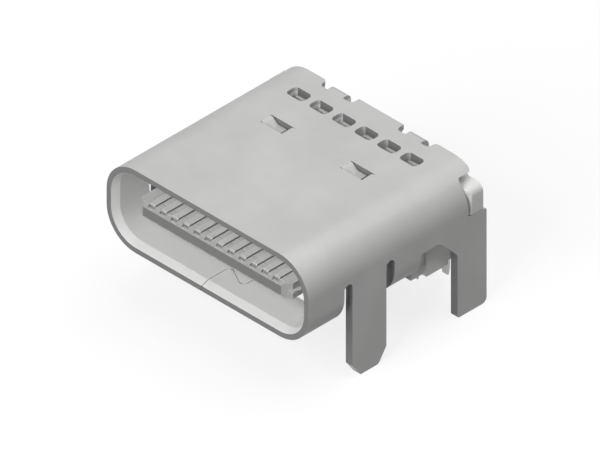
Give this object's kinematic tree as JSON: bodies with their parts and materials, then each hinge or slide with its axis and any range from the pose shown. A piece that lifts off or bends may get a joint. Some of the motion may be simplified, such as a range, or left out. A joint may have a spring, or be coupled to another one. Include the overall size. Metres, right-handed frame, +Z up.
{
  "type": "board-mounted reversible data and power socket",
  "caption": "Low oval-mouthed board socket: folded sheet shell with through-board legs round a moulded tongue with contacts on both faces.",
  "frame": {"origin": "centre of the plug opening in the plane of the shell's rim", "axes": "+X across the mouth, +Y back into the socket away from the plug, +Z up from the board"},
  "size_m": [0.009, 0.0087, 0.0052],
  "materials": {
    "shell_sheet": "satin nickel over stamped sheet",
    "housing_plastic": "matt moulded liquid-crystal polymer",
    "tongue_plastic": "matt moulded liquid-crystal polymer",
    "plate_sheet": "bright rolled sheet",
    "contact_plating": "bright plated copper alloy strip"
  },
  "bodies": {
    "root": {"outer_shell": "shell_sheet", "housing": "housing_plastic", "upper_terminal_carrier": "tongue_plastic", "lower_terminal_carrier": "tongue_plastic", "mid_plate": "plate_sheet", "upper_ground_plate": "plate_sheet", "lower_ground_plate": "plate_sheet", "upper_contact_01": "contact_plating", "upper_contact_02": "contact_plating", "upper_contact_03": "contact_plating", "upper_contact_04": "contact_plating", "upper_contact_05": "contact_plating", "upper_contact_06": "contact_plating", "upper_contact_07": "contact_plating", "upper_contact_08": "contact_plating", "upper_contact_09": "contact_plating", "upper_contact_10": "contact_plating", "upper_contact_11": "contact_plating", "upper_contact_12": "contact_plating", "lower_contact_01": "contact_plating", "lower_contact_02": "contact_plating", "lower_contact_03": "contact_plating", "lower_contact_04": "contact_plating", "lower_contact_05": "contact_plating", "lower_contact_06": "contact_plating", "lower_contact_07": "contact_plating", "lower_contact_08": "contact_plating", "lower_contact_09": "contact_plating", "lower_contact_10": "contact_plating", "lower_contact_11": "contact_plating", "lower_contact_12": "contact_plating"}
  },
  "joints": []
}
